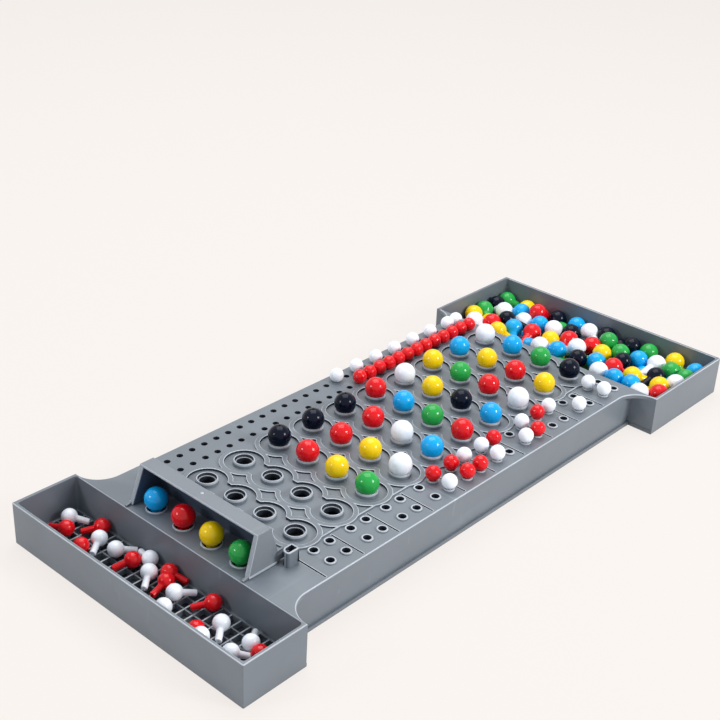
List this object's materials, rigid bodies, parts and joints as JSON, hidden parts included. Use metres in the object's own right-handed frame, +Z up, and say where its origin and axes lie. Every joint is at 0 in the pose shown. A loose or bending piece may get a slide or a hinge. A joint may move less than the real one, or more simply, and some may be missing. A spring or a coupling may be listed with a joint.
{
  "type": "code breaking peg game",
  "caption": "Low moulded game board with a peg tray at each end, a hinged shield over a hidden row, and coloured ball-headed pegs standing in its holes.",
  "frame": {"origin": "centre of the board's outline, on the surface that it stands on", "axes": "+X across the board towards the key peg panels, +Y from the near tray to the far tray, +Z up"},
  "size_m": [0.1268, 0.3074, 0.0343],
  "materials": {
    "board_plastic": "satin moulded grey",
    "peg_red": "glossy red",
    "peg_yellow": "glossy yellow",
    "peg_blue": "glossy blue",
    "peg_green": "glossy green",
    "peg_black": "glossy near-black navy",
    "peg_white": "glossy white"
  },
  "bodies": {
    "board": {"base_board": "board_plastic", "loose_code_pegs": "peg_yellow", "loose_key_pegs_left": "peg_white", "loose_key_pegs_middle": "peg_white", "loose_key_pegs_right": "peg_white"},
    "shield": {"code_shield": "board_plastic"},
    "code_peg_r03_c1_black": {"code_peg_r03_c1_black": "peg_black"},
    "code_peg_r03_c2_red": {"code_peg_r03_c2_red": "peg_red"},
    "code_peg_r03_c3_yellow": {"code_peg_r03_c3_yellow": "peg_yellow"},
    "code_peg_r03_c4_green": {"code_peg_r03_c4_green": "peg_green"},
    "code_peg_r04_c1_black": {"code_peg_r04_c1_black": "peg_black"},
    "code_peg_r04_c2_red": {"code_peg_r04_c2_red": "peg_red"},
    "code_peg_r04_c3_yellow": {"code_peg_r04_c3_yellow": "peg_yellow"},
    "code_peg_r04_c4_white": {"code_peg_r04_c4_white": "peg_white"},
    "code_peg_r05_c1_black": {"code_peg_r05_c1_black": "peg_black"},
    "code_peg_r05_c2_red": {"code_peg_r05_c2_red": "peg_red"},
    "code_peg_r05_c3_white": {"code_peg_r05_c3_white": "peg_white"},
    "code_peg_r05_c4_blue": {"code_peg_r05_c4_blue": "peg_blue"},
    "code_peg_r06_c1_red": {"code_peg_r06_c1_red": "peg_red"},
    "code_peg_r06_c2_blue": {"code_peg_r06_c2_blue": "peg_blue"},
    "code_peg_r06_c3_green": {"code_peg_r06_c3_green": "peg_green"},
    "code_peg_r06_c4_red": {"code_peg_r06_c4_red": "peg_red"},
    "code_peg_r07_c1_white": {"code_peg_r07_c1_white": "peg_white"},
    "code_peg_r07_c2_yellow": {"code_peg_r07_c2_yellow": "peg_yellow"},
    "code_peg_r07_c3_black": {"code_peg_r07_c3_black": "peg_black"},
    "code_peg_r07_c4_blue": {"code_peg_r07_c4_blue": "peg_blue"},
    "code_peg_r08_c1_yellow": {"code_peg_r08_c1_yellow": "peg_yellow"},
    "code_peg_r08_c2_green": {"code_peg_r08_c2_green": "peg_green"},
    "code_peg_r08_c3_red": {"code_peg_r08_c3_red": "peg_red"},
    "code_peg_r08_c4_white": {"code_peg_r08_c4_white": "peg_white"},
    "code_peg_r09_c1_blue": {"code_peg_r09_c1_blue": "peg_blue"},
    "code_peg_r09_c2_yellow": {"code_peg_r09_c2_yellow": "peg_yellow"},
    "code_peg_r09_c3_red": {"code_peg_r09_c3_red": "peg_red"},
    "code_peg_r09_c4_yellow": {"code_peg_r09_c4_yellow": "peg_yellow"},
    "code_peg_r10_c1_white": {"code_peg_r10_c1_white": "peg_white"},
    "code_peg_r10_c2_blue": {"code_peg_r10_c2_blue": "peg_blue"},
    "code_peg_r10_c3_green": {"code_peg_r10_c3_green": "peg_green"},
    "code_peg_r10_c4_black": {"code_peg_r10_c4_black": "peg_black"},
    "key_peg_r04_far_left_red": {"key_peg_r04_far_left_red": "peg_red"},
    "key_peg_r04_far_right_white": {"key_peg_r04_far_right_white": "peg_white"},
    "key_peg_r05_far_left_white": {"key_peg_r05_far_left_white": "peg_white"},
    "key_peg_r05_far_right_red": {"key_peg_r05_far_right_red": "peg_red"},
    "key_peg_r05_near_left_red": {"key_peg_r05_near_left_red": "peg_red"},
    "key_peg_r05_near_right_red": {"key_peg_r05_near_right_red": "peg_red"},
    "key_peg_r06_far_left_red": {"key_peg_r06_far_left_red": "peg_red"},
    "key_peg_r06_near_left_white": {"key_peg_r06_near_left_white": "peg_white"},
    "key_peg_r06_near_right_white": {"key_peg_r06_near_right_white": "peg_white"},
    "key_peg_r07_far_left_white": {"key_peg_r07_far_left_white": "peg_white"},
    "key_peg_r07_far_right_red": {"key_peg_r07_far_right_red": "peg_red"},
    "key_peg_r07_near_right_white": {"key_peg_r07_near_right_white": "peg_white"},
    "key_peg_r08_far_left_white": {"key_peg_r08_far_left_white": "peg_white"},
    "key_peg_r08_near_left_red": {"key_peg_r08_near_left_red": "peg_red"},
    "key_peg_r09_near_right_white": {"key_peg_r09_near_right_white": "peg_white"},
    "key_peg_r10_near_left_white": {"key_peg_r10_near_left_white": "peg_white"},
    "key_peg_r10_near_right_white": {"key_peg_r10_near_right_white": "peg_white"},
    "score_pegs_red": {"score_pegs_red": "peg_red"},
    "secret_peg_c1_blue": {"secret_peg_c1_blue": "peg_blue"},
    "secret_peg_c2_red": {"secret_peg_c2_red": "peg_red"},
    "secret_peg_c3_yellow": {"secret_peg_c3_yellow": "peg_yellow"},
    "secret_peg_c4_green": {"secret_peg_c4_green": "peg_green"}
  },
  "joints": [
    {"name": "shield_hinge", "type": "hinge", "parent": "board", "child": "shield", "pos_m": [0, -0.10535, 0.0213], "axis": [-1, 0, 0], "range_deg": [0, 105]},
    {"name": "code_peg_r03_c1_black_lift", "type": "slide", "parent": "board", "child": "code_peg_r03_c1_black", "axis": [0, 0, 1], "range_m": [0, 0.014]},
    {"name": "code_peg_r03_c2_red_lift", "type": "slide", "parent": "board", "child": "code_peg_r03_c2_red", "axis": [0, 0, 1], "range_m": [0, 0.014]},
    {"name": "code_peg_r03_c3_yellow_lift", "type": "slide", "parent": "board", "child": "code_peg_r03_c3_yellow", "axis": [0, 0, 1], "range_m": [0, 0.014]},
    {"name": "code_peg_r03_c4_green_lift", "type": "slide", "parent": "board", "child": "code_peg_r03_c4_green", "axis": [0, 0, 1], "range_m": [0, 0.014]},
    {"name": "code_peg_r04_c1_black_lift", "type": "slide", "parent": "board", "child": "code_peg_r04_c1_black", "axis": [0, 0, 1], "range_m": [0, 0.014]},
    {"name": "code_peg_r04_c2_red_lift", "type": "slide", "parent": "board", "child": "code_peg_r04_c2_red", "axis": [0, 0, 1], "range_m": [0, 0.014]},
    {"name": "code_peg_r04_c3_yellow_lift", "type": "slide", "parent": "board", "child": "code_peg_r04_c3_yellow", "axis": [0, 0, 1], "range_m": [0, 0.014]},
    {"name": "code_peg_r04_c4_white_lift", "type": "slide", "parent": "board", "child": "code_peg_r04_c4_white", "axis": [0, 0, 1], "range_m": [0, 0.014]},
    {"name": "code_peg_r05_c1_black_lift", "type": "slide", "parent": "board", "child": "code_peg_r05_c1_black", "axis": [0, 0, 1], "range_m": [0, 0.014]},
    {"name": "code_peg_r05_c2_red_lift", "type": "slide", "parent": "board", "child": "code_peg_r05_c2_red", "axis": [0, 0, 1], "range_m": [0, 0.014]},
    {"name": "code_peg_r05_c3_white_lift", "type": "slide", "parent": "board", "child": "code_peg_r05_c3_white", "axis": [0, 0, 1], "range_m": [0, 0.014]},
    {"name": "code_peg_r05_c4_blue_lift", "type": "slide", "parent": "board", "child": "code_peg_r05_c4_blue", "axis": [0, 0, 1], "range_m": [0, 0.014]},
    {"name": "code_peg_r06_c1_red_lift", "type": "slide", "parent": "board", "child": "code_peg_r06_c1_red", "axis": [0, 0, 1], "range_m": [0, 0.014]},
    {"name": "code_peg_r06_c2_blue_lift", "type": "slide", "parent": "board", "child": "code_peg_r06_c2_blue", "axis": [0, 0, 1], "range_m": [0, 0.014]},
    {"name": "code_peg_r06_c3_green_lift", "type": "slide", "parent": "board", "child": "code_peg_r06_c3_green", "axis": [0, 0, 1], "range_m": [0, 0.014]},
    {"name": "code_peg_r06_c4_red_lift", "type": "slide", "parent": "board", "child": "code_peg_r06_c4_red", "axis": [0, 0, 1], "range_m": [0, 0.014]},
    {"name": "code_peg_r07_c1_white_lift", "type": "slide", "parent": "board", "child": "code_peg_r07_c1_white", "axis": [0, 0, 1], "range_m": [0, 0.014]},
    {"name": "code_peg_r07_c2_yellow_lift", "type": "slide", "parent": "board", "child": "code_peg_r07_c2_yellow", "axis": [0, 0, 1], "range_m": [0, 0.014]},
    {"name": "code_peg_r07_c3_black_lift", "type": "slide", "parent": "board", "child": "code_peg_r07_c3_black", "axis": [0, 0, 1], "range_m": [0, 0.014]},
    {"name": "code_peg_r07_c4_blue_lift", "type": "slide", "parent": "board", "child": "code_peg_r07_c4_blue", "axis": [0, 0, 1], "range_m": [0, 0.014]},
    {"name": "code_peg_r08_c1_yellow_lift", "type": "slide", "parent": "board", "child": "code_peg_r08_c1_yellow", "axis": [0, 0, 1], "range_m": [0, 0.014]},
    {"name": "code_peg_r08_c2_green_lift", "type": "slide", "parent": "board", "child": "code_peg_r08_c2_green", "axis": [0, 0, 1], "range_m": [0, 0.014]},
    {"name": "code_peg_r08_c3_red_lift", "type": "slide", "parent": "board", "child": "code_peg_r08_c3_red", "axis": [0, 0, 1], "range_m": [0, 0.014]},
    {"name": "code_peg_r08_c4_white_lift", "type": "slide", "parent": "board", "child": "code_peg_r08_c4_white", "axis": [0, 0, 1], "range_m": [0, 0.014]},
    {"name": "code_peg_r09_c1_blue_lift", "type": "slide", "parent": "board", "child": "code_peg_r09_c1_blue", "axis": [0, 0, 1], "range_m": [0, 0.014]},
    {"name": "code_peg_r09_c2_yellow_lift", "type": "slide", "parent": "board", "child": "code_peg_r09_c2_yellow", "axis": [0, 0, 1], "range_m": [0, 0.014]},
    {"name": "code_peg_r09_c3_red_lift", "type": "slide", "parent": "board", "child": "code_peg_r09_c3_red", "axis": [0, 0, 1], "range_m": [0, 0.014]},
    {"name": "code_peg_r09_c4_yellow_lift", "type": "slide", "parent": "board", "child": "code_peg_r09_c4_yellow", "axis": [0, 0, 1], "range_m": [0, 0.014]},
    {"name": "code_peg_r10_c1_white_lift", "type": "slide", "parent": "board", "child": "code_peg_r10_c1_white", "axis": [0, 0, 1], "range_m": [0, 0.014]},
    {"name": "code_peg_r10_c2_blue_lift", "type": "slide", "parent": "board", "child": "code_peg_r10_c2_blue", "axis": [0, 0, 1], "range_m": [0, 0.014]},
    {"name": "code_peg_r10_c3_green_lift", "type": "slide", "parent": "board", "child": "code_peg_r10_c3_green", "axis": [0, 0, 1], "range_m": [0, 0.014]},
    {"name": "code_peg_r10_c4_black_lift", "type": "slide", "parent": "board", "child": "code_peg_r10_c4_black", "axis": [0, 0, 1], "range_m": [0, 0.014]},
    {"name": "key_peg_r04_far_left_red_lift", "type": "slide", "parent": "board", "child": "key_peg_r04_far_left_red", "axis": [0, 0, 1], "range_m": [0, 0.01]},
    {"name": "key_peg_r04_far_right_white_lift", "type": "slide", "parent": "board", "child": "key_peg_r04_far_right_white", "axis": [0, 0, 1], "range_m": [0, 0.01]},
    {"name": "key_peg_r05_far_left_white_lift", "type": "slide", "parent": "board", "child": "key_peg_r05_far_left_white", "axis": [0, 0, 1], "range_m": [0, 0.01]},
    {"name": "key_peg_r05_far_right_red_lift", "type": "slide", "parent": "board", "child": "key_peg_r05_far_right_red", "axis": [0, 0, 1], "range_m": [0, 0.01]},
    {"name": "key_peg_r05_near_left_red_lift", "type": "slide", "parent": "board", "child": "key_peg_r05_near_left_red", "axis": [0, 0, 1], "range_m": [0, 0.01]},
    {"name": "key_peg_r05_near_right_red_lift", "type": "slide", "parent": "board", "child": "key_peg_r05_near_right_red", "axis": [0, 0, 1], "range_m": [0, 0.01]},
    {"name": "key_peg_r06_far_left_red_lift", "type": "slide", "parent": "board", "child": "key_peg_r06_far_left_red", "axis": [0, 0, 1], "range_m": [0, 0.01]},
    {"name": "key_peg_r06_near_left_white_lift", "type": "slide", "parent": "board", "child": "key_peg_r06_near_left_white", "axis": [0, 0, 1], "range_m": [0, 0.01]},
    {"name": "key_peg_r06_near_right_white_lift", "type": "slide", "parent": "board", "child": "key_peg_r06_near_right_white", "axis": [0, 0, 1], "range_m": [0, 0.01]},
    {"name": "key_peg_r07_far_left_white_lift", "type": "slide", "parent": "board", "child": "key_peg_r07_far_left_white", "axis": [0, 0, 1], "range_m": [0, 0.01]},
    {"name": "key_peg_r07_far_right_red_lift", "type": "slide", "parent": "board", "child": "key_peg_r07_far_right_red", "axis": [0, 0, 1], "range_m": [0, 0.01]},
    {"name": "key_peg_r07_near_right_white_lift", "type": "slide", "parent": "board", "child": "key_peg_r07_near_right_white", "axis": [0, 0, 1], "range_m": [0, 0.01]},
    {"name": "key_peg_r08_far_left_white_lift", "type": "slide", "parent": "board", "child": "key_peg_r08_far_left_white", "axis": [0, 0, 1], "range_m": [0, 0.01]},
    {"name": "key_peg_r08_near_left_red_lift", "type": "slide", "parent": "board", "child": "key_peg_r08_near_left_red", "axis": [0, 0, 1], "range_m": [0, 0.01]},
    {"name": "key_peg_r09_near_right_white_lift", "type": "slide", "parent": "board", "child": "key_peg_r09_near_right_white", "axis": [0, 0, 1], "range_m": [0, 0.01]},
    {"name": "key_peg_r10_near_left_white_lift", "type": "slide", "parent": "board", "child": "key_peg_r10_near_left_white", "axis": [0, 0, 1], "range_m": [0, 0.01]},
    {"name": "key_peg_r10_near_right_white_lift", "type": "slide", "parent": "board", "child": "key_peg_r10_near_right_white", "axis": [0, 0, 1], "range_m": [0, 0.01]},
    {"name": "score_pegs_red_lift", "type": "slide", "parent": "board", "child": "score_pegs_red", "axis": [0, 0, 1], "range_m": [0, 0.01]},
    {"name": "secret_peg_c1_blue_lift", "type": "slide", "parent": "board", "child": "secret_peg_c1_blue", "axis": [0, 0, 1], "range_m": [0, 0.0045]},
    {"name": "secret_peg_c2_red_lift", "type": "slide", "parent": "board", "child": "secret_peg_c2_red", "axis": [0, 0, 1], "range_m": [0, 0.0045]},
    {"name": "secret_peg_c3_yellow_lift", "type": "slide", "parent": "board", "child": "secret_peg_c3_yellow", "axis": [0, 0, 1], "range_m": [0, 0.0045]},
    {"name": "secret_peg_c4_green_lift", "type": "slide", "parent": "board", "child": "secret_peg_c4_green", "axis": [0, 0, 1], "range_m": [0, 0.0045]}
  ]
}
